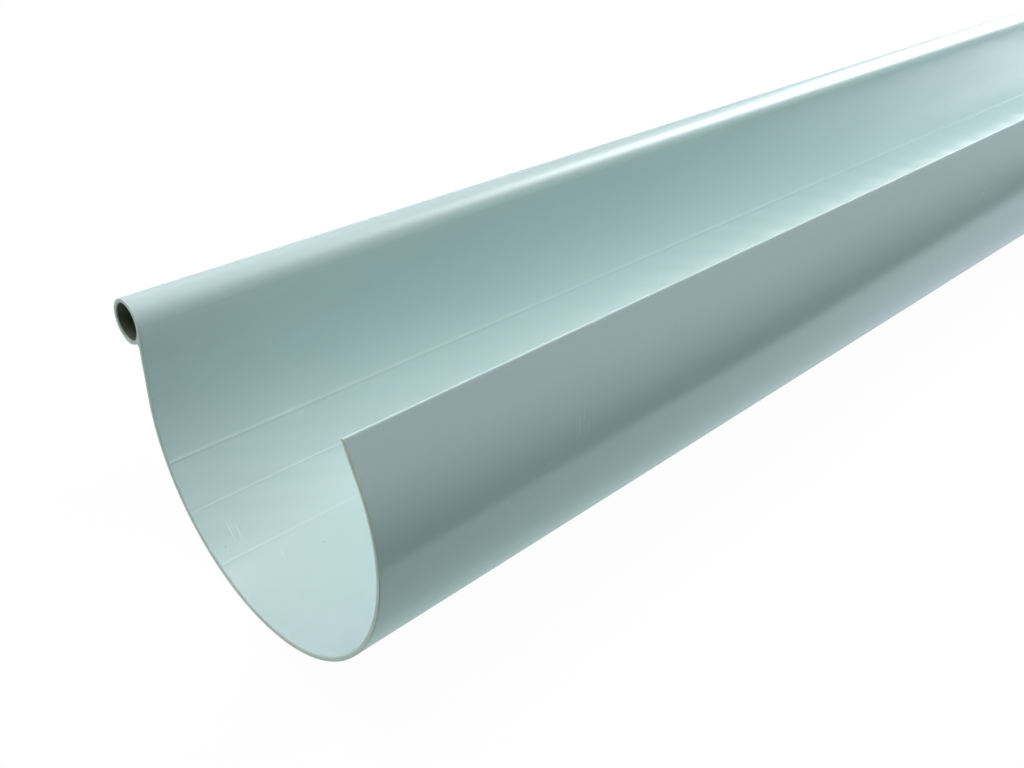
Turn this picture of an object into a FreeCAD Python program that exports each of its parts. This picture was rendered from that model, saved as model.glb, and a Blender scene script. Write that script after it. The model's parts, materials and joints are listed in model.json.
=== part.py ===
import FreeCAD, Part
import math
import os
import Sketcher

# Deep half-round rainwater gutter, extruded in PVC: one piece of stock, sawn square at both ends.
# The section is drawn upright and symmetric about the bottom of its bowl (millimetres):
#   +X  towards the plain back edge
#   -X  towards the round hollow bead along the front edge
#   +Z  out of the open top
#   Y   along the length, with the middle of the length at zero
# The finished length is then rolled about Y until its centre of mass hangs under the bowl's centre,
# which is how it settles on a level floor.

V = FreeCAD.Vector
UP = V(0, 0, 1)

DIMENSIONS = (
    ("stock_length", 2000.0),   # one length as sold
    ("bowl_radius", 62.5),      # inside of the bowl: nominal size 125
    ("wall", 1.7),              # skin thickness everywhere but the bead
    ("bowl_half_angle", 103.0), # bottom of the bowl to where each side goes straight, degrees
    ("back_rise", 13.0),        # straight part of the back side, up to the plain edge
    ("front_rise", 27.5),       # straight part of the front side, up to the height of the bead's middle
    ("bead_radius", 8.3),       # outside of the hollow bead
    ("bead_wall", 1.4),
    ("bead_root", 1.2),         # small fillet where the bead's underside meets the front side
    ("edge_round", 0.4),        # eased corners of the plain edge
)

doc = FreeCAD.newDocument("gutter")
sheet = doc.addObject("Spreadsheet::Sheet", "dims")
for row, (name, value) in enumerate(DIMENSIONS, start=1):
    sheet.set("A%d" % row, name)
    sheet.set("B%d" % row, str(value))
    sheet.setAlias("B%d" % row, name)
last_row = len(DIMENSIONS)
for offset, name in enumerate(("rest_roll", "rest_shift", "rest_lift"), start=1):
    sheet.set("A%d" % (last_row + offset), name)
    sheet.set("B%d" % (last_row + offset), "0")
    sheet.setAlias("B%d" % (last_row + offset), name)
doc.recompute()

body = doc.addObject("PartDesign::Body", "gutter_section")
body.Label = "gutter_section"
section = body.newObject("Sketcher::SketchObject", "section")
cross_plane = [plane for plane in body.Origin.OriginFeatures if plane.Role == "XZ_Plane"][0]
section.AttachmentSupport = [(cross_plane, "")]
section.MapMode = "FlatFace"
doc.recompute()


def at(along_u, along_v, origin, u_axis, v_axis):
    """Point at (u, v) in a local frame of the section."""
    return origin + u_axis * along_u + v_axis * along_v


def arc(centre, radius, start, end):
    """Arc of the section running anticlockwise from start to end, angles in radians."""
    return Part.ArcOfCircle(Part.Circle(centre, UP, radius), start, end)


# Where each line and arc of the section starts out, close enough for the constraints to settle.
inner = sheet.bowl_radius
outer = inner + sheet.wall
half = math.radians(sheet.bowl_half_angle)
bottom = -math.pi / 2
ease = sheet.edge_round
zero = V(0, 0, 0)

back_out = V(math.sin(half), -math.cos(half), 0)
back_up = V(math.cos(half), math.sin(half), 0)
front_out = V(-math.sin(half), -math.cos(half), 0)
front_up = V(-math.cos(half), math.sin(half), 0)

back_angle = math.atan2(back_out.y, back_out.x)
edge_in = at(inner, sheet.back_rise, zero, back_out, back_up)
edge_in_low = edge_in - back_up * ease
edge_in_flat = edge_in + back_out * ease
edge_out = at(outer, sheet.back_rise, zero, back_out, back_up)
edge_out_low = edge_out - back_up * ease
edge_out_flat = edge_out - back_out * ease

bead_r = sheet.bead_radius
root_r = sheet.bead_root
bead_touch = at(inner, sheet.front_rise, zero, front_out, front_up)
bead_mid = bead_touch + front_out * bead_r
root_across = bead_r - sheet.wall - root_r
root_down = math.sqrt((bead_r + root_r) ** 2 - root_across ** 2)
root_mid = at(-root_across, -root_down, bead_mid, front_out, front_up)
root_on_side = root_mid - front_out * root_r
touch_angle = math.atan2(-front_out.y, -front_out.x)
toward_root = root_mid - bead_mid
root_angle = math.atan2(toward_root.y, toward_root.x)

INNER_BOWL, BACK_IN, EASE_IN, PLAIN_EDGE, EASE_OUT, BACK_OUT = range(6)
OUTER_BOWL, FRONT_OUT, ROOT, BEAD, FRONT_IN, BORE = range(6, 12)
section.addGeometry([
    arc(zero, inner, bottom - half, bottom + half),
    Part.LineSegment(back_out * inner, edge_in_low),
    arc(edge_in_low + back_out * ease, ease, back_angle + math.pi / 2, back_angle + math.pi),
    Part.LineSegment(edge_in_flat, edge_out_flat),
    arc(edge_out_low - back_out * ease, ease, back_angle, back_angle + math.pi / 2),
    Part.LineSegment(edge_out_low, back_out * outer),
    arc(zero, outer, bottom - half, bottom + half),
    Part.LineSegment(front_out * outer, root_on_side),
    arc(root_mid, root_r, touch_angle, root_angle + math.pi),
    arc(bead_mid, bead_r, touch_angle, root_angle + 2 * math.pi),
    Part.LineSegment(bead_touch, front_out * inner),
    Part.Circle(bead_mid, UP, bead_r - sheet.bead_wall),
], False)

START, END, MIDDLE = 1, 2, 3
ORIGIN = -1


def tie(kind, *where):
    """Geometric constraint with no value."""
    section.addConstraint(Sketcher.Constraint(kind, *where))


def size(name, expression, kind, *where):
    """Named driving constraint, bound to the sheet by its expression."""
    section.addConstraint(Sketcher.Constraint(kind, *where))
    section.renameConstraint(section.ConstraintCount - 1, name)
    section.setExpression("Constraints." + name, expression)


tie("Coincident", INNER_BOWL, MIDDLE, ORIGIN, START)
tie("Coincident", OUTER_BOWL, MIDDLE, ORIGIN, START)
tie("Tangent", INNER_BOWL, END, BACK_IN, START)
tie("Tangent", BACK_IN, END, EASE_IN, END)
tie("Tangent", EASE_IN, START, PLAIN_EDGE, START)
tie("Tangent", PLAIN_EDGE, END, EASE_OUT, END)
tie("Tangent", EASE_OUT, START, BACK_OUT, START)
tie("Tangent", BACK_OUT, END, OUTER_BOWL, END)
tie("Perpendicular", BACK_IN, PLAIN_EDGE)
tie("Parallel", BACK_IN, BACK_OUT)
tie("Tangent", OUTER_BOWL, START, FRONT_OUT, START)
tie("Tangent", FRONT_OUT, END, ROOT, START)
tie("Tangent", ROOT, END, BEAD, END)
tie("Tangent", BEAD, START, FRONT_IN, START)
tie("Tangent", FRONT_IN, END, INNER_BOWL, START)
tie("Parallel", FRONT_IN, FRONT_OUT)
tie("Coincident", BORE, MIDDLE, BEAD, MIDDLE)
tie("Equal", EASE_IN, EASE_OUT)
size("bowl_inside", "dims.bowl_radius", "Radius", INNER_BOWL, inner)
size("bowl_outside", "dims.bowl_radius + dims.wall", "Radius", OUTER_BOWL, outer)
size("back_lean", "dims.bowl_half_angle * 1 deg", "Angle", BACK_IN, half)
size("front_lean", "-dims.bowl_half_angle * 1 deg", "Angle", FRONT_IN, -half)
size("back_height", "dims.back_rise", "Distance", INNER_BOWL, END, PLAIN_EDGE, sheet.back_rise)
size("front_height", "dims.front_rise", "Distance", FRONT_IN, sheet.front_rise)
size("bead_outside", "dims.bead_radius", "Radius", BEAD, bead_r)
size("bead_inside", "dims.bead_radius - dims.bead_wall", "Radius", BORE, bead_r - sheet.bead_wall)
size("root_fillet", "dims.bead_root", "Radius", ROOT, root_r)
size("eased_corner", "dims.edge_round", "Radius", EASE_IN, ease)
doc.recompute()
if section.solve() != 0 or not section.FullyConstrained:
    raise RuntimeError("the section is not fully defined")

length = body.newObject("PartDesign::Pad", "length")
length.Profile = section
length.SideType = "Symmetric"
length.setExpression("Length", "dims.stock_length")
doc.recompute()

# Rolled about its length until the centre of mass is under the bowl's centre, then set down so
# that the origin is on the floor, in the middle of the space the piece takes up.
body.Placement.Rotation = FreeCAD.Rotation(V(0, 1, 0), 0)
body.setExpression("Placement.Rotation.Angle", "dims.rest_roll * 1 deg")
body.setExpression("Placement.Base.x", "dims.rest_shift * 1 mm")
body.setExpression("Placement.Base.z", "dims.rest_lift * 1 mm")
heavy = body.Shape.Solids[0].CenterOfMass
roll = math.degrees(math.atan2(heavy.x, -heavy.z))
sheet.set("rest_roll", "%.6f" % roll)
doc.recompute()
space = body.Shape.BoundBox
sheet.set("rest_shift", "%.6f" % (-(space.XMin + space.XMax) / 2))
sheet.set("rest_lift", "%.6f" % -space.ZMin)
doc.recompute()

for item in doc.Objects:
    if "Invalid" in item.State or "Error" in item.State:
        raise RuntimeError("%s did not recompute: %s" % (item.Name, item.State))
shape = body.Shape
if shape.isNull() or not shape.isValid() or len(shape.Solids) != 1:
    raise RuntimeError("the gutter section is not one valid solid")

space = shape.BoundBox
heavy = shape.Solids[0].CenterOfMass
print("size", round(space.XLength, 2), round(space.YLength, 2), round(space.ZLength, 2))
print("low corner", round(space.XMin, 3), round(space.YMin, 3), round(space.ZMin, 3))
print("volume cm3", round(shape.Volume / 1000, 2), "roll", round(roll, 3))
print("bowl centre x", round(body.Placement.Base.x, 4), "z", round(body.Placement.Base.z, 4))
print("centre of mass", round(heavy.x, 4), round(heavy.y, 4), round(heavy.z, 4))

os.makedirs("parts", exist_ok=True)
shape.exportStep("parts/gutter_section.step")
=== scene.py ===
import json
import math

import bpy
import numpy as np
from mathutils import Matrix, Vector


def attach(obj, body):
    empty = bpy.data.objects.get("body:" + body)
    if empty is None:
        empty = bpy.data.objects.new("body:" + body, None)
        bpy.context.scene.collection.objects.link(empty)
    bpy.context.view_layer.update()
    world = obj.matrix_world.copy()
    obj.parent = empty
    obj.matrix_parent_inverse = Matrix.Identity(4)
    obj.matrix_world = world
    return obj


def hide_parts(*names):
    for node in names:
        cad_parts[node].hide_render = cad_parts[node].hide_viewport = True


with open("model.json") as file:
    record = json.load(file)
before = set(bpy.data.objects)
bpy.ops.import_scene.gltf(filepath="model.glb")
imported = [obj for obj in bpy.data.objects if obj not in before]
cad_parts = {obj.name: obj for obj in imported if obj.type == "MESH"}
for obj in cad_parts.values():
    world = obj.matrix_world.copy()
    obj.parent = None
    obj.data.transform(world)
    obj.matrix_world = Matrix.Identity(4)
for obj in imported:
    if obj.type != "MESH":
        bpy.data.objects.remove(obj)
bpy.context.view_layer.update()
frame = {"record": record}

# Sizes of the extruded section, in metres. The section is drawn upright: u runs towards the plain
# back edge, v runs out of the open mouth, and both start at the centre of the bowl.
MM = 0.001
BOWL_RADIUS = 62.5 * MM
WALL = 1.7 * MM
BOWL_HALF_ANGLE = math.radians(103.0)
BACK_RISE = 13.0 * MM
FRONT_RISE = 27.5 * MM
BEAD_RADIUS = 8.3 * MM
BEAD_WALL = 1.4 * MM
BEAD_ROOT = 1.2 * MM
EDGE_ROUND = 0.4 * MM
OUTER_RADIUS = BOWL_RADIUS + WALL
BORE_RADIUS = BEAD_RADIUS - BEAD_WALL
STOCK_LENGTH = 2.0

# The sawn ends are deburred: how far each edge is eased, and how deep into the length.
OUTER_EASE = 0.12 * MM
INNER_EASE = 0.80 * MM
EASE_DEPTH = 0.60 * MM
# The deeper easing fades out over these distances at the plain edge and before the bead.
EASE_FADE_AT_EDGE = 0.8 * MM
EASE_FADE_AT_BEAD = 5 * MM
# The knife wavers: share of the easing, and its waves (distance per radian in mm, start).
KNIFE_WAVER = 0.07
KNIFE_WAVES = ((1.7, 0.3), (2.9, 1.9), (4.7, 4.0), (11.0, 2.2))

# Faint lines that the extrusion die leaves down the inside of the front wall, one row each:
# distance down the wall from the bead, height above the surface, half width.
DIE_LINES = np.array([
    [6.5, 0.020, 0.30],
    [14.8, -0.035, 0.80],
    [52.7, 0.110, 0.60],
    [72.5, 0.065, 0.32],
    [94.5, 0.065, 0.38],
]) * MM
SHARP_DIE_LINES = DIE_LINES[2:, 0]
CREST_HALF_WIDTH = 0.6 * MM
# Points of the bowl lie up to ten times closer within this distance of a die line.
CLOSER_AT_LINES = 9
CLOSER_WITHIN = 1.2 * MM
# The wall grows a little thicker from here up to the bead.
ROOT_SWELL_START = 16.0 * MM
ROOT_SWELL = 0.22 * MM
# Lines and swelling die away over this distance just under the bead.
RELIEF_FADE = 3 * MM

# Outwards and upwards along the two straight sides, as (u, v), and the middle of the bead.
FRONT_OUT = np.array([-math.sin(BOWL_HALF_ANGLE), -math.cos(BOWL_HALF_ANGLE)])
FRONT_UP = np.array([-math.cos(BOWL_HALF_ANGLE), math.sin(BOWL_HALF_ANGLE)])
BACK_OUT = np.array([math.sin(BOWL_HALF_ANGLE), -math.cos(BOWL_HALF_ANGLE)])
BACK_UP = np.array([math.cos(BOWL_HALF_ANGLE), math.sin(BOWL_HALF_ANGLE)])
BEAD_MIDDLE = FRONT_OUT * (BOWL_RADIUS + BEAD_RADIUS) + FRONT_UP * FRONT_RISE

# Steps of each stretch of the section and of the length, and how finely the bowl is measured
# to space its steps.
CORNER_STEPS = 4
BACK_STEPS = 16
BOWL_STEPS = 260
BOWL_SAMPLES = 6000
FRONT_STEPS = 60
NECK_STEPS = 4
BEAD_STEPS = 96
ROOT_STEPS = 12
LENGTH_STEPS = 40
EASE_STEPS = 5
RAIL_POINTS = CORNER_STEPS + BACK_STEPS + BOWL_STEPS + FRONT_STEPS + 1
# The outline's first point on the bead, where the inner face ends.
BEAD_POINT = RAIL_POINTS + NECK_STEPS

# Finishes: the extruded skin, the edges eased with a knife, the flat saw cut, the bead's bore,
# and the material that each of them has.
SKIN, KNIFE_CUT, SAW_CUT, BORE = range(4)
MATERIAL_OF_FINISH = np.array([0, 1, 1, 2], np.int32)
SURFACE_MAP = "surface_map"


# ---------------------------------------------------------------- the section

def straight(start, end, steps):
    """Evenly spaced points from start towards end: p(t) = start + t (end - start), t in [0, 1)."""
    share = np.linspace(0.0, 1.0, steps, endpoint=False)[:, None]
    return start + share * (end - start)


def round_points(centre, radius, turns):
    """Points on a circle: p(t) = centre + radius (cos t, sin t) for each turn t."""
    return centre + radius * np.stack([np.cos(turns), np.sin(turns)], axis=1)


def arc(centre, radius, start, end, steps):
    """Points on a circle, evenly spaced from start up to, not with, end."""
    return round_points(centre, radius, np.linspace(start, end, steps, endpoint=False))


def bowl_turns():
    """Turns round the bowl from the back wall to the front wall, closer together at die lines.

    The steps follow the running sum of 1 + 9 exp(-((distance - line) / reach)^2).
    """
    whole = 2 * BOWL_HALF_ANGLE * BOWL_RADIUS
    distance = np.linspace(0.0, whole, BOWL_SAMPLES)
    below_bead = FRONT_RISE + whole - distance
    apart = (below_bead[:, None] - DIE_LINES[:, 0]) / CLOSER_WITHIN
    closeness = 1 + CLOSER_AT_LINES * np.exp(-apart ** 2).sum(axis=1)
    share = np.concatenate([[0.0], np.cumsum(closeness[1:] + closeness[:-1])])
    wanted = np.linspace(0.0, share[-1], BOWL_STEPS, endpoint=False)
    return -math.pi / 2 + BOWL_HALF_ANGLE - np.interp(wanted, share, distance) / BOWL_RADIUS


def angle_of(towards):
    """Turn of a flat vector (x, y), anticlockwise from +x: atan2(y, x)."""
    return math.atan2(towards[1], towards[0])


def wall_rail(radius, side, root_height):
    """One face of the wall, from the plain edge round the bowl to just under the bead.

    Quarter circle over the eased corner, straight down the back, circle of the given radius
    round the bowl, straight up the front to root_height. side is +1 outside and -1 inside.
    """
    edge = BACK_OUT * radius + BACK_UP * BACK_RISE
    corner = edge - (BACK_UP + BACK_OUT * side) * EDGE_ROUND
    top = angle_of(BACK_UP)
    rail_end = FRONT_OUT * radius + FRONT_UP * root_height
    return np.concatenate([
        arc(corner, EDGE_ROUND, top, top - side * math.pi / 2, CORNER_STEPS),
        straight(edge - BACK_UP * EDGE_ROUND, BACK_OUT * radius, BACK_STEPS),
        round_points(np.zeros(2), radius, bowl_turns()),
        straight(FRONT_OUT * radius, rail_end, FRONT_STEPS),
        rail_end[None],
    ])


def section_loops():
    """Outline and bore of the section, and the pairs of rails that tile its sawn end with quads.

    The outline runs up the inner face, round the bead (circle), over the root (small fillet)
    and back down the outer face. The bore is a circle. Each pair is (point indices on one
    side of the plastic, indices of the points facing them).
    """
    across = BEAD_RADIUS - WALL - BEAD_ROOT
    down = math.sqrt((BEAD_RADIUS + BEAD_ROOT) ** 2 - across ** 2)
    inner = wall_rail(BOWL_RADIUS, -1, FRONT_RISE - down)
    outer = wall_rail(OUTER_RADIUS, 1, FRONT_RISE - down)

    touch = angle_of(-FRONT_OUT)
    root_turn = 2 * math.pi - math.atan2(down, across)
    neck_turn = 2 * math.pi - math.acos((BEAD_RADIUS - WALL) / BORE_RADIUS)
    full_turn = 2 * math.pi
    neck_heights = FRONT_RISE + BORE_RADIUS * np.sin(
        np.linspace(neck_turn, full_turn, NECK_STEPS, endpoint=False))
    neck = FRONT_OUT * BOWL_RADIUS + neck_heights[:, None] * FRONT_UP
    bead = arc(BEAD_MIDDLE, BEAD_RADIUS, touch, touch + root_turn, BEAD_STEPS)
    root_middle = BEAD_MIDDLE - FRONT_OUT * across - FRONT_UP * down
    root = arc(root_middle, BEAD_ROOT, touch + root_turn - math.pi, touch, ROOT_STEPS)

    outline = np.concatenate([inner, neck, bead, root, outer[::-1]])
    bore = np.concatenate([
        arc(BEAD_MIDDLE, BORE_RADIUS, touch, touch + root_turn, BEAD_STEPS),
        arc(BEAD_MIDDLE, BORE_RADIUS, touch + root_turn, touch + neck_turn, ROOT_STEPS),
        arc(BEAD_MIDDLE, BORE_RADIUS, touch + neck_turn, touch + full_turn, NECK_STEPS),
    ])

    rail, total = len(inner), len(outline)
    bead_start = rail + NECK_STEPS
    root_start = bead_start + BEAD_STEPS
    bore_root = total + BEAD_STEPS
    bore_neck = bore_root + ROOT_STEPS
    around_wall = np.arange(rail)
    around_bead = np.arange(BEAD_STEPS + 1)
    over_root = np.arange(ROOT_STEPS + 1)
    pairs = [
        (around_wall, total - 1 - around_wall),
        (np.arange(rail - 1, bead_start + 1),
         np.concatenate([[total - rail], bore_neck + np.arange(NECK_STEPS), [total]])),
        (bead_start + around_bead, total + around_bead),
        (root_start + over_root, bore_root + over_root),
    ]
    return outline, bore, pairs


def loop_normals(points):
    """Normal of a closed anticlockwise loop: its tangent turned a quarter turn clockwise."""
    along = np.roll(points, -1, axis=0) - np.roll(points, 1, axis=0)
    along /= np.linalg.norm(along, axis=1)[:, None]
    return np.stack([along[:, 1], -along[:, 0]], axis=1)


def loop_distance(points):
    """Distance round a closed loop at each point and back at the first: running sum of steps."""
    steps = np.linalg.norm(np.roll(points, -1, axis=0) - points, axis=1)
    return np.concatenate([[0.0], np.cumsum(steps)])


def inner_face_relief(distance):
    """Height of the inner face over its true shape, by distance below the bead: a bell curve
    for each die line, and a straight swell towards the bead."""
    below_bead = distance[BEAD_POINT] - distance[:-1]
    place, height, width = (DIE_LINES[:, column, None] for column in range(3))
    relief = (height * np.exp(-((below_bead - place) / width) ** 2)).sum(axis=0)
    relief += ROOT_SWELL * np.clip(1 - below_bead / ROOT_SWELL_START, 0.0, 1.0)
    relief *= np.clip(below_bead / RELIEF_FADE, 0.0, 1.0)
    relief[:CORNER_STEPS + 1] = 0.0
    relief[BEAD_POINT:] = 0.0
    return relief


def edge_easing(distance, total):
    """How far each point of the section draws in at a sawn end.

    The inner edge is eased more than the rest, straight-line blends join the two, and a sum of
    sines round the section makes them a little uneven, as a knife leaves them.
    """
    round_section = distance[:-1]
    bead_start = distance[BEAD_POINT]
    more = np.interp(round_section,
                     [0.0, EASE_FADE_AT_EDGE, bead_start - EASE_FADE_AT_BEAD, bead_start],
                     [0.0, 1.0, 1.0, 0.0])
    more[BEAD_POINT:] = 0.0
    uneven = sum(np.sin(round_section / (pitch * MM) + start) for pitch, start in KNIFE_WAVES)
    deepest = OUTER_EASE + (INNER_EASE - OUTER_EASE) * more
    ease = np.full(total, OUTER_EASE)
    ease[:len(round_section)] = deepest * (1 + KNIFE_WAVER * uneven)
    return ease


# ---------------------------------------------------------------- the extruded piece

def rolled_to_rest(section_points, stations):
    """Puts the upright section where the piece lies, once for each station along its length.

    x and z are (u, v) turned about the bowl's centre until the bead is where the bead's bore
    mount says it is; y is the station.
    """
    mounts = {mount["name"]: mount["pos_m"] for mount in frame["record"]["mounts"]}
    bowl = np.array([mounts["bowl_cradle"][0], OUTER_RADIUS])
    bead = np.array(mounts["bead_bore"])[[0, 2]] - bowl
    roll = angle_of(bead) - angle_of(BEAD_MIDDLE)
    u, v = section_points[..., 0], section_points[..., 1]
    x = bowl[0] + u * math.cos(roll) - v * math.sin(roll)
    z = bowl[1] + u * math.sin(roll) + v * math.cos(roll)
    y = np.broadcast_to(stations[:, None], x.shape)
    return np.stack([x, y, z], axis=-1)


def sweep_skin(distance, first, count, stride, stations, skin):
    """Quads between neighbouring points of a loop and neighbouring stations, faces outwards,
    with a map in metres: distance round the loop across, station along. The eased part at
    each end, which the knife has cut, has the finish KNIFE_CUT in place of the skin's own."""
    point, row = np.meshgrid(np.arange(count), np.arange(len(stations) - 1), indexing="ij")
    here = first + row * stride + point
    beside = first + row * stride + (point + 1) % count
    quads = np.stack([here, here + stride, beside + stride, beside], axis=-1)
    near, far = distance[point], distance[point + 1]
    across = np.stack([near, near, far, far], axis=-1)
    along = np.stack([stations[row], stations[row + 1], stations[row + 1], stations[row]], axis=-1)
    maps = np.stack([across, along], axis=-1)
    if skin == BORE:
        quads, maps = quads[..., ::-1], maps[..., ::-1, :]
    cut = (row < EASE_STEPS) | (row >= len(stations) - 1 - EASE_STEPS)
    return quads.reshape(-1, 4), maps.reshape(-1, 4, 2), np.where(cut, KNIFE_CUT, skin).ravel()


def sawn_face(section_points, pairs, first, towards_rear):
    """Quads across the plastic from each rail to the rail facing it, mapped with (u, v) itself."""
    quads = np.concatenate([
        np.stack([one[:-1], one[1:], facing[1:], facing[:-1]], axis=-1) for one, facing in pairs])
    if towards_rear:
        quads = quads[:, ::-1]
    return quads + first, section_points[quads], np.full(len(quads), SAW_CUT)


def gutter_mesh():
    """The whole gutter as one closed surface.

    The section is carried straight along y. Near each sawn end it draws in by a quarter
    ellipse: ease * (1 - sqrt(1 - t^2)), t going from 0 to 1 over the depth of the easing.
    """
    outline, bore, pairs = section_loops()
    outline_distance, bore_distance = loop_distance(outline), loop_distance(bore)
    outline_normals, bore_normals = loop_normals(outline), loop_normals(bore)
    outline = outline + outline_normals * inner_face_relief(outline_distance)[:, None]

    half = STOCK_LENGTH / 2
    inward = np.linspace(1.0, 0.0, EASE_STEPS + 1)
    depth = EASE_DEPTH * (1 - inward)
    stations = np.linspace(-half + EASE_DEPTH, half - EASE_DEPTH, LENGTH_STEPS + 1)
    stations = np.concatenate([-half + depth[:-1], stations, (half - depth[:-1])[::-1]])
    draw_in = np.zeros(len(stations))
    draw_in[:EASE_STEPS + 1] = 1 - np.sqrt(1 - inward ** 2)
    draw_in[-EASE_STEPS - 1:] = draw_in[EASE_STEPS::-1]

    section_points = np.concatenate([outline, bore])
    normals = np.concatenate([outline_normals, -bore_normals])
    ease = edge_easing(outline_distance, len(section_points))
    rings = section_points[None] - (draw_in[:, None] * ease)[..., None] * normals[None]
    places = rolled_to_rest(rings, stations).reshape(-1, 3)

    stride = len(section_points)
    last_ring = (len(stations) - 1) * stride
    parts = [
        sweep_skin(outline_distance, 0, len(outline), stride, stations, SKIN),
        sweep_skin(bore_distance, len(outline), len(bore), stride, stations, BORE),
        sawn_face(section_points, pairs, 0, False),
        sawn_face(section_points, pairs, last_ring, True),
    ]
    quads, maps, finishes = (np.concatenate(arrays) for arrays in zip(*parts))
    return places, quads, maps, finishes


def make_piece(name, places, quads, maps, finishes, materials):
    """Puts the worked-out points, faces and map into a mesh, with a material for each finish."""
    mesh = bpy.data.meshes.new(name)
    mesh.vertices.add(len(places))
    mesh.vertices.foreach_set("co", places.astype(np.float32).ravel())
    mesh.loops.add(quads.size)
    mesh.loops.foreach_set("vertex_index", quads.astype(np.int32).ravel())
    mesh.polygons.add(len(quads))
    mesh.polygons.foreach_set("loop_start", np.arange(0, quads.size, 4, dtype=np.int32))
    mesh.update(calc_edges=True)
    mesh.polygons.foreach_set("material_index", MATERIAL_OF_FINISH[finishes])
    mesh.polygons.foreach_set("use_smooth", finishes != SAW_CUT)
    layer = mesh.uv_layers.new(name=SURFACE_MAP)
    layer.data.foreach_set("uv", maps.astype(np.float32).ravel())
    for material in materials:
        mesh.materials.append(material)
    mesh.validate()
    piece = bpy.data.objects.new(name, mesh)
    bpy.context.scene.collection.objects.link(piece)
    return piece


# ---------------------------------------------------------------- finishes

# Colours are (red, green, blue) shares of the light that a finish sends back, darkest tone first.
SKIN_TONES = (0.487, 0.627, 0.614), (0.521, 0.663, 0.650)
# The bore's tones are painted shade: dark for the shadow deep inside the bead.
BORE_PAINTED_SHADE_TONES = (0.125, 0.145, 0.095), (0.175, 0.195, 0.140)
SAWN_TONES = (0.545, 0.625, 0.565), (0.605, 0.685, 0.625)
# Painted highlight: the crests of the sharp die lines are paled, for light caught on the raised
# lines.
CREST_PAINTED_HIGHLIGHT = (0.80, 0.88, 0.88)
SCRATCH_COLOUR = (0.84, 0.90, 0.90)
DIRT_COLOUR = (0.10, 0.10, 0.08)
PVC_IOR = 1.53

# Heights of the finest relief of the skin.
DRAG_HEIGHT = 0.035 * MM
STREAK_HEIGHT = 0.0025 * MM
PEEL_HEIGHT = 0.008 * MM

# Waves of dragging: distance from crest to crest, slant across the length, and how far noise
# shakes them.
DRAG_PITCH = 31 * MM
DRAG_SLANT = 2.86
DRAG_SHAKE = 5.0

# Distances below the bead between which the bowl turns duller, and the drag waves set in.
DULLER_BELOW_BEAD = (45 * MM, 75 * MM)
DRAGGED_BELOW_BEAD = (51 * MM, 56 * MM)

# The rubbed plain edge: where it ends and has faded out on the inner and on the outer face.
RUBBED_INSIDE = (0.6 * MM, 0.9 * MM)
RUBBED_OUTSIDE = (1.7 * MM, 1.4 * MM)

# Scratches and scuffs that show paler than the skin, and specks of dirt: face, distance down it,
# distance from the near end, half length, half width (all mm), turn (degrees).
SCRATCHES = [
    ("inside", 84.0, 10.3, 5.5, 0.22, 4.0), ("inside", 82.5, 11.6, 3.5, 0.16, 6.0),
    ("inside", 86.0, 12.8, 3.8, 0.20, 5.0), ("inside", 101.5, 22.0, 2.6, 0.12, 12.0),
    ("inside", 24.6, 0.9, 0.55, 0.35, 30.0), ("inside", 26.2, 1.0, 0.35, 0.30, 0.0),
    ("outside", 31.0, 83.0, 5.5, 0.20, 8.0), ("outside", 28.5, 85.5, 4.2, 0.16, 14.0),
    ("outside", 32.5, 87.0, 3.0, 0.16, 3.0), ("outside", 38.5, 67.5, 2.8, 0.18, 60.0),
    ("outside", 26.5, 376.0, 0.9, 0.8, 0.0), ("outside", 24.5, 378.0, 1.8, 0.18, 50.0),
    ("outside", 44.0, 50.0, 1.6, 0.14, -35.0),
]
SPECKS = [
    ("inside", 89.0, 5.6, 0.38, 0.30, 0.0), ("inside", 91.0, 6.3, 0.30, 0.26, 0.0),
    ("inside", 92.6, 5.9, 0.24, 0.22, 0.0), ("inside", 105.0, 38.0, 0.40, 0.34, 0.0),
    ("inside", 97.5, 71.0, 0.30, 0.26, 0.0), ("inside", 129.0, 4.5, 0.28, 0.24, 0.0),
]


def new_finish(name):
    """An empty material, with its nodes and links."""
    material = bpy.data.materials.new(name)
    material.use_nodes = True
    return material, material.node_tree.nodes, material.node_tree.links


def add_node(nodes, kind, values=(), **settings):
    """A node with some of its properties and then some of its input values set."""
    node = nodes.new(kind)
    for key, value in settings.items():
        setattr(node, key, value)
    for key, value in dict(values).items():
        node.inputs[key].default_value = value
    return node


def calculated(nodes, links, operation, *values, clamp=False):
    """The operation worked out on values, each a plain number or another node's output."""
    node = add_node(nodes, "ShaderNodeMath", operation=operation, use_clamp=clamp)
    for socket, value in zip(node.inputs, values):
        if isinstance(value, float):
            socket.default_value = value
        else:
            links.new(value, socket)
    return node.outputs[0]


def summed(nodes, links, parts, clamp=False):
    """Sum of several outputs, added one after another and held at 1 if clamp is set."""
    total = parts[0]
    for part in parts[1:]:
        total = calculated(nodes, links, "ADD", total, part, clamp=clamp)
    return total


def solid_place(nodes):
    """Place in the space of the piece itself."""
    return add_node(nodes, "ShaderNodeTexCoord").outputs["Object"]


def surface_place(nodes):
    """Place on the surface map: distance round the section, station along the length."""
    return add_node(nodes, "ShaderNodeUVMap", uv_map=SURFACE_MAP).outputs["UV"]


def scaled_noise(nodes, links, place, scale, detail, roughness):
    """Noise read in coordinates stretched by scale, one factor for each axis."""
    stretch = add_node(nodes, "ShaderNodeMapping", {"Scale": scale})
    noise = add_node(nodes, "ShaderNodeTexNoise",
                     {"Scale": 1.0, "Detail": detail, "Roughness": roughness})
    links.new(place, stretch.inputs["Vector"])
    links.new(stretch.outputs["Vector"], noise.inputs["Vector"])
    return noise.outputs["Fac"]


def spread(nodes, links, value, low, high, from_low=0.3, from_high=0.7):
    """Straight-line map of value from [from_low, from_high] to [low, high], held at the ends."""
    ramp = add_node(nodes, "ShaderNodeMapRange", {
        "From Min": from_low, "From Max": from_high, "To Min": low, "To Max": high})
    links.new(value, ramp.inputs["Value"])
    return ramp.outputs["Result"]


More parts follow.
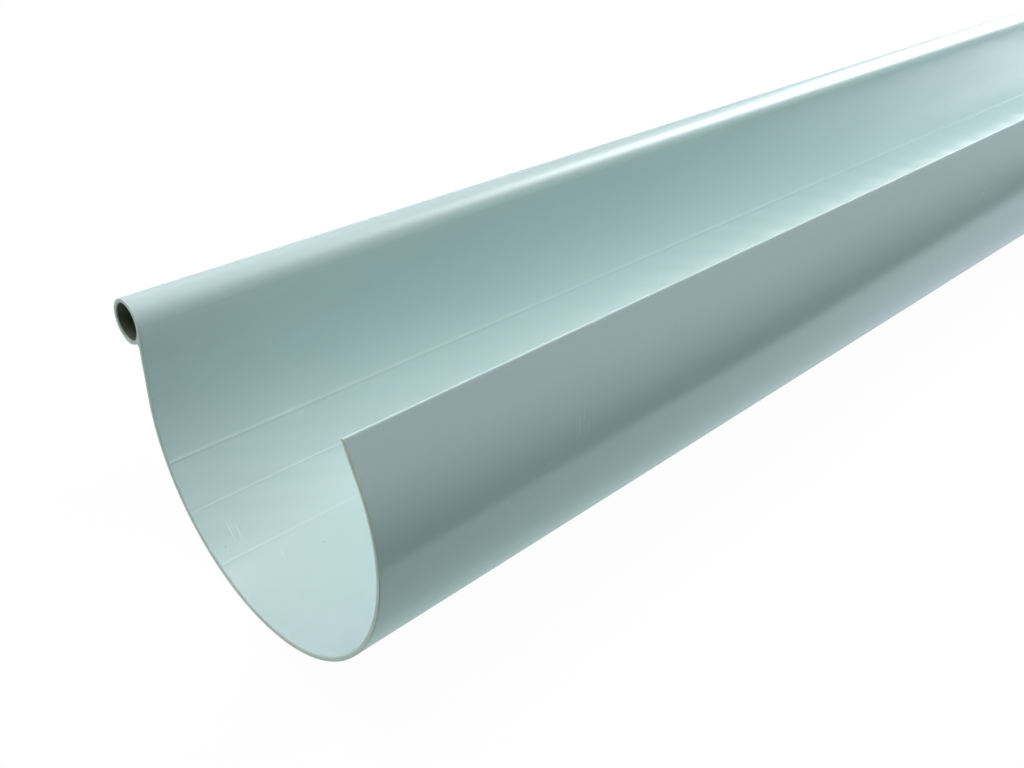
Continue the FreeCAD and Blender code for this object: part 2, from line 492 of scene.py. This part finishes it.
def mixed(nodes, links, one, other, share):
    """Colour one + share (other - one). The colours are (red, green, blue) or outputs."""
    mix = add_node(nodes, "ShaderNodeMix", data_type="RGBA")
    for name, colour in (("A", one), ("B", other)):
        if isinstance(colour, tuple):
            mix.inputs[name].default_value = (*colour, 1.0)
        else:
            links.new(colour, mix.inputs[name])
    links.new(share, mix.inputs["Factor"])
    return mix.outputs["Result"]


def tinted(nodes, links, tone, colour, amount, strength):
    """tone mixed towards the colour by amount * strength."""
    return mixed(nodes, links, tone, colour,
                 calculated(nodes, links, "MULTIPLY", amount, strength))


def bumped(nodes, links, height, distance, below=None):
    """Bump of the given height in metres, laid over the bump below it."""
    bump = add_node(nodes, "ShaderNodeBump", {"Strength": 1.0, "Distance": distance})
    links.new(height, bump.inputs["Height"])
    if below is not None:
        links.new(below, bump.inputs["Normal"])
    return bump.outputs["Normal"]


def soft_spot(nodes, links, surface, across, along, half_length, half_width, turn):
    """1 in the middle of an ellipse on the surface map, falling straight to 0 at its rim."""
    place = add_node(nodes, "ShaderNodeMapping", vector_type="TEXTURE")
    place.inputs["Location"].default_value = (across, along, 0.0)
    place.inputs["Rotation"].default_value = (0.0, 0.0, math.radians(turn))
    place.inputs["Scale"].default_value = (half_length, half_width, 1.0)
    ball = add_node(nodes, "ShaderNodeTexGradient", gradient_type="SPHERICAL")
    links.new(surface, place.inputs["Vector"])
    links.new(place.outputs["Vector"], ball.inputs["Vector"])
    return ball.outputs["Fac"]


def face_tops():
    """Distance round the outline at the top of each face: the inner one under the bead, the
    outer one at the plain edge. Both faces run down from there as the distance falls."""
    distance = loop_distance(section_loops()[0])
    return {"inside": distance[BEAD_POINT], "outside": distance[-1]}


def all_marks(nodes, links, surface, rows):
    """The marks of several rows together: the sum of their soft spots, held at 1."""
    tops = face_tops()
    return summed(nodes, links, [
        soft_spot(nodes, links, surface, tops[face] - MM * down, from_end * MM - STOCK_LENGTH / 2,
                  half_length * MM, half_width * MM, turn)
        for face, down, from_end, half_length, half_width, turn in rows], clamp=True)


def inner_bowl(nodes, links, across, below_bead):
    """0 down to the first of two distances below the bead, 1 from the second on to the plain
    edge, and a straight line between."""
    begin, full = below_bead
    top = face_tops()["inside"]
    return spread(nodes, links, across, 1.0, 0.0, top - full, top - begin)


def die_line_crest_highlight(nodes, links, across):
    """Where the painted highlight of the die lines goes: 1 on the crest of each sharp die line,
    falling straight to 0 at CREST_HALF_WIDTH.
    """
    crests = []
    for below_bead in SHARP_DIE_LINES:
        crest = float(face_tops()["inside"] - below_bead)
        off = calculated(nodes, links, "SUBTRACT", across, crest)
        apart = calculated(nodes, links, "ABSOLUTE", off)
        crests.append(spread(nodes, links, apart, 1.0, 0.0, 0.0, CREST_HALF_WIDTH))
    return summed(nodes, links, crests)


def plain_edge(nodes, links, across):
    """1 over the plain edge, where the map starts and ends, and 0 elsewhere."""
    whole = face_tops()["outside"]
    outside = [whole - distance for distance in RUBBED_OUTSIDE]
    return summed(nodes, links, [spread(nodes, links, across, 1.0, 0.0, *RUBBED_INSIDE),
                                 spread(nodes, links, across, 0.0, 1.0, *outside)])


def drag_waves(nodes, links, surface, wobble, where):
    """Slanting waves where the piece was dragged off the line: sin(2 pi (along + slant across)
    / pitch), shaken a little by noise, where the given share says."""
    turns = 2 * math.pi / DRAG_PITCH
    slanting = add_node(nodes, "ShaderNodeVectorMath", operation="DOT_PRODUCT")
    slanting.inputs[1].default_value = (DRAG_SLANT * turns, turns, 0.0)
    links.new(surface, slanting.inputs[0])
    shaken = calculated(nodes, links, "MULTIPLY_ADD", wobble, DRAG_SHAKE, slanting.outputs["Value"])
    wave = calculated(nodes, links, "SINE", shaken)
    return calculated(nodes, links, "MULTIPLY", wave, where)


def extruded_pvc():
    """Semi-gloss grey PVC: faint clouds and mottling, die streaks along the length, a painted
    highlight on the crests of the die lines, orange peel, the waves of dragging, and the scratches
    and specks of a piece that has been handled."""
    material, nodes, links = new_finish("extruded_grey_pvc")
    plastic = nodes["Principled BSDF"]
    solid, surface = solid_place(nodes), surface_place(nodes)
    split = add_node(nodes, "ShaderNodeSeparateXYZ")
    links.new(surface, split.inputs["Vector"])
    across = split.outputs["X"]
    cloud = scaled_noise(nodes, links, solid, (22.0, 9.0, 22.0), 3.0, 0.55)
    mottle = scaled_noise(nodes, links, solid, (620.0, 420.0, 620.0), 2.0, 0.6)
    streak = scaled_noise(nodes, links, surface, (700.0, 3.0, 1.0), 3.0, 0.6)
    peel = scaled_noise(nodes, links, solid, (420.0, 160.0, 420.0), 2.0, 0.5)
    scratches = all_marks(nodes, links, surface, SCRATCHES)

    blend = spread(nodes, links, cloud, 0.0, 0.45)
    for pattern, share in ((streak, 0.30), (mottle, 0.40)):
        blend = calculated(nodes, links, "MULTIPLY_ADD", pattern, share, blend)
    tone = mixed(nodes, links, *SKIN_TONES, blend)
    # The die line crests get a painted highlight; scratches show paler as wear, and specks are
    # dirt.
    for colour, amount, strength in (
            (CREST_PAINTED_HIGHLIGHT, die_line_crest_highlight(nodes, links, across), 0.16),
            (SCRATCH_COLOUR, scratches, 0.42),
            (DIRT_COLOUR, all_marks(nodes, links, surface, SPECKS), 0.6)):
        tone = tinted(nodes, links, tone, colour, amount, strength)
    links.new(tone, plastic.inputs["Base Color"])

    roughness = spread(nodes, links, mottle, 0.175, 0.205)
    for place, rougher in (
            (scratches, 0.3),
            (inner_bowl(nodes, links, across, DULLER_BELOW_BEAD), 0.055),
            (plain_edge(nodes, links, across), 0.4)):
        roughness = calculated(nodes, links, "MULTIPLY_ADD", place, rougher, roughness, clamp=True)
    links.new(roughness, plastic.inputs["Roughness"])
    plastic.inputs["IOR"].default_value = PVC_IOR

    dragged = drag_waves(nodes, links, surface, cloud,
                         inner_bowl(nodes, links, across, DRAGGED_BELOW_BEAD))
    shape = bumped(nodes, links, dragged, DRAG_HEIGHT)
    shape = bumped(nodes, links, streak, STREAK_HEIGHT, shape)
    shape = bumped(nodes, links, peel, PEEL_HEIGHT, shape)
    links.new(shape, plastic.inputs["Normal"])
    return material


def grained_pvc(name, place_in, scale, detail, fineness, tones, dullness, height):
    """PVC with one noise for its grain, which sets its tone, its roughness and its relief."""
    material, nodes, links = new_finish(name)
    plastic = nodes["Principled BSDF"]
    grain = scaled_noise(nodes, links, place_in(nodes), scale, detail, fineness)
    tone = mixed(nodes, links, *tones, spread(nodes, links, grain, 0.0, 1.0))
    links.new(tone, plastic.inputs["Base Color"])
    links.new(spread(nodes, links, grain, *dullness), plastic.inputs["Roughness"])
    plastic.inputs["IOR"].default_value = PVC_IOR
    links.new(bumped(nodes, links, grain, height), plastic.inputs["Normal"])
    return material


def sawn_pvc():
    """The cut end: the same plastic, duller, paler and warmer, with fine straight saw marks."""
    return grained_pvc("sawn_grey_pvc", surface_place, (400.0, 5200.0, 1.0), 2.0, 0.5,
                       SAWN_TONES, (0.5, 0.7), 0.025 * MM)


def bore_pvc_with_painted_shade():
    """The inside of the bead, which no die polishes: dull, with a soft grain, and dark with painted
    shade for the shadow deep in the bore.
    """
    return grained_pvc("bore_pvc_with_painted_shade", solid_place, (260.0, 60.0, 260.0), 3.0, 0.6,
                       BORE_PAINTED_SHADE_TONES, (0.55, 0.75), 0.04 * MM)


# ---------------------------------------------------------------- floor, light and camera

# The floor reaches this far each way from the piece, and lies a hair below the table top.
FLOOR_REACH = 7.0
FLOOR_DROP = 0.5 * MM
# What the camera sees of floor and table: their own white, and a share that takes the shadow.
SEEN_WHITE = 0.97
SEEN_SHADOW = 0.03

# The table from the near end to the rear end: y, its right-hand edge x, and its glow.
TABLE_ROWS = [
    (-2.2, 0.12, (0.74, 0.89, 0.89)),
    (-0.87, 0.245, (0.80, 0.99, 0.98)),
    (-0.55, 0.245, (0.92, 1.04, 1.12)),
    (0.064, 0.351, (0.96, 1.06, 1.18)),
    (1.6, 0.45, (0.96, 1.06, 1.18)),
]
# Its left-hand edge, a line along the gutter, and the share of the glow at the left edge, at
# that line, where the gutter keeps the light off, and at the right edge.
TABLE_LEFT = -1.3
TABLE_LINE = 0.07
TABLE_SHARES = (0.9, 0.72, 1.32)

# The tent: its middle, how far it reaches along x, y and z, and its rows and columns of points.
TENT_MIDDLE = (0.0, -0.5, 0.0)
TENT_REACH = (3.2, 4.8, 3.0)
TENT_ROWS = 31
TENT_COLUMNS = 90
# Patches of light on it: compass angle, height angle, spread (degrees), colour.
TENT_PATCHES = [
    (-147.0, 71.0, 11.0, (8.2, 8.2, 8.3)),
    (85.0, 52.0, 17.0, (9.4, 9.5, 9.6)),
    (101.0, 20.0, 18.0, (16.3, 16.2, 17.7)),
    (-169.0, 25.0, 22.0, (1.8, 1.65, 1.85)),
    (29.0, 3.0, 19.0, (0.05, 0.34, 0.26)),
    (-90.0, 8.0, 22.0, (1.7, 1.7, 1.65)),
]


def staged_mesh(name, points, faces, glow, material):
    """A mesh of the studio that carries how brightly each of its points glows."""
    mesh = bpy.data.meshes.new(name)
    mesh.from_pydata(points, [], faces)
    layer = mesh.attributes.new("glow", "FLOAT_COLOR", "POINT")
    opaque = np.ones((len(points), 1), np.float32)
    colours = np.concatenate([np.array(glow, np.float32), opaque], axis=1)
    layer.data.foreach_set("color", colours.ravel())
    mesh.materials.append(material)
    piece = bpy.data.objects.new(name, mesh)
    bpy.context.scene.collection.objects.link(piece)
    return piece


def glowing(name):
    """Gives off light by the mesh's own glow. Returns the node of that light as well."""
    material, nodes, links = new_finish(name)
    nodes.remove(nodes["Principled BSDF"])
    light = add_node(nodes, "ShaderNodeEmission")
    own_glow = add_node(nodes, "ShaderNodeAttribute", attribute_name="glow")
    links.new(own_glow.outputs["Color"], light.inputs["Color"])
    links.new(light.outputs[0], nodes["Material Output"].inputs["Surface"])
    return material, nodes, links, light


def camera_or_others(nodes, links, others, seen, output):
    """Shows one shader to the camera and another to all other rays, such as a reflection."""
    path = add_node(nodes, "ShaderNodeLightPath")
    choice = add_node(nodes, "ShaderNodeMixShader")
    links.new(path.outputs["Is Camera Ray"], choice.inputs["Fac"])
    links.new(others.outputs[0], choice.inputs[1])
    links.new(seen.outputs[0], choice.inputs[2])
    links.new(choice.outputs[0], nodes[output].inputs["Surface"])


def seen_white(name):
    """White to the camera, with the soft shadow of what stands on it. To all other rays it only
    glows as its mesh says."""
    material, nodes, links, light = glowing(name)
    white = add_node(nodes, "ShaderNodeEmission", {"Strength": SEEN_WHITE})
    shadow = add_node(nodes, "ShaderNodeBsdfDiffuse", {"Color": (*[SEEN_SHADOW] * 3, 1.0)})
    seen = add_node(nodes, "ShaderNodeAddShader")
    links.new(white.outputs[0], seen.inputs[0])
    links.new(shadow.outputs[0], seen.inputs[1])
    camera_or_others(nodes, links, light, seen, "Material Output")
    return material


def white_floor():
    """A square of floor with no glow of its own."""
    corners = [(-1, -1), (1, -1), (1, 1), (-1, 1)]
    points = [(x * FLOOR_REACH, y * FLOOR_REACH, -FLOOR_DROP) for x, y in corners]
    staged_mesh("floor", points, [(0, 1, 2, 3)], np.zeros((4, 3)), seen_white("white_floor"))


def table_top():
    """The pale table under the gutter: two strips of quads along y, with a glow at each point."""
    points = [(x, y, 0.0) for y, right, _ in TABLE_ROWS for x in (TABLE_LEFT, TABLE_LINE, right)]
    glow = [np.array(full) * share for _, _, full in TABLE_ROWS for share in TABLE_SHARES]
    starts = [3 * row + column for row in range(len(TABLE_ROWS) - 1) for column in range(2)]
    faces = [(start, start + 1, start + 4, start + 3) for start in starts]
    staged_mesh("table_top", points, faces, glow, seen_white("pale_table"))


def direction(compass, height):
    """Unit vector (cos h cos c, cos h sin c, sin h) of a compass angle c and height angle h."""
    return np.stack([np.cos(height) * np.cos(compass), np.cos(height) * np.sin(compass),
                     np.sin(height)], axis=-1)


def light_tent():
    """A half ellipsoid of soft light over the piece, never seen by the camera.

    At a point of the tent whose direction lies an angle d from a patch's direction, the patch
    adds colour * exp(-(d / spread)^2).
    """
    height, compass = np.meshgrid(
        np.radians(np.linspace(0.0, 90.0, TENT_ROWS)),
        np.radians(np.linspace(0.0, 360.0, TENT_COLUMNS, endpoint=False)), indexing="ij")
    towards = direction(compass, height).reshape(-1, 3)
    row, column = np.meshgrid(np.arange(TENT_ROWS - 1), np.arange(TENT_COLUMNS), indexing="ij")
    here, beside = row * TENT_COLUMNS + column, row * TENT_COLUMNS + (column + 1) % TENT_COLUMNS
    quads = np.stack([here, here + TENT_COLUMNS, beside + TENT_COLUMNS, beside], axis=-1)

    glow = np.zeros((len(towards), 3))
    for compass_angle, height_angle, spread_angle, colour in TENT_PATCHES:
        axis = direction(math.radians(compass_angle), math.radians(height_angle))
        apart = np.degrees(np.arccos(np.clip(towards @ axis, -1.0, 1.0)))
        glow += np.exp(-(apart / spread_angle) ** 2)[:, None] * np.array(colour)
    points = np.array(TENT_MIDDLE) + towards * np.array(TENT_REACH)
    tent = staged_mesh("light_tent", points.tolist(), quads.reshape(-1, 4).tolist(), glow,
                       glowing("lit_cloth")[0])
    tent.visible_camera = False


def surroundings():
    """Black all round the piece, which the camera sees as white."""
    world = bpy.data.worlds.new("studio_surroundings")
    bpy.context.scene.world = world
    world.use_nodes = True
    nodes, links = world.node_tree.nodes, world.node_tree.links
    white = add_node(nodes, "ShaderNodeBackground", {"Color": (1.0, 1.0, 1.0, 1.0)})
    black = nodes["Background"]
    black.inputs["Color"].default_value = (0.0, 0.0, 0.0, 1.0)
    camera_or_others(nodes, links, black, white, "World Output")


def camera(place, aim, roll, lens):
    """Camera at place looking at aim, turned anticlockwise by roll about its own line of sight."""
    eye = bpy.data.cameras.new("camera")
    eye.lens = lens
    eye.sensor_width = 36.0
    eye.clip_start = 0.01
    eye.clip_end = 60.0
    holder = bpy.data.objects.new("camera", eye)
    forward = (Vector(aim) - Vector(place)).normalized()
    level = forward.cross(Vector((0.0, 0.0, 1.0))).normalized()
    above = level.cross(forward)
    right = level * math.cos(roll) + above * math.sin(roll)
    up = above * math.cos(roll) - level * math.sin(roll)
    turn = Matrix((right, up, -forward)).transposed().to_4x4()
    holder.matrix_world = Matrix.Translation(place) @ turn
    bpy.context.scene.collection.objects.link(holder)
    bpy.context.scene.camera = holder


# ---------------------------------------------------------------- assembly

# The bore's material is darkened with painted shade.
gutter = make_piece("pvc_gutter", *gutter_mesh(), [extruded_pvc(), sawn_pvc(), bore_pvc_with_painted_shade()])
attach(gutter, "root")
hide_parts("gutter_section")

white_floor()
table_top()
light_tent()
surroundings()
camera((0.18254, -1.13337, 0.32654), (0.01898, -0.89174, 0.06), math.radians(18.803), 37.108)
bpy.context.scene.view_settings.view_transform = "Standard"
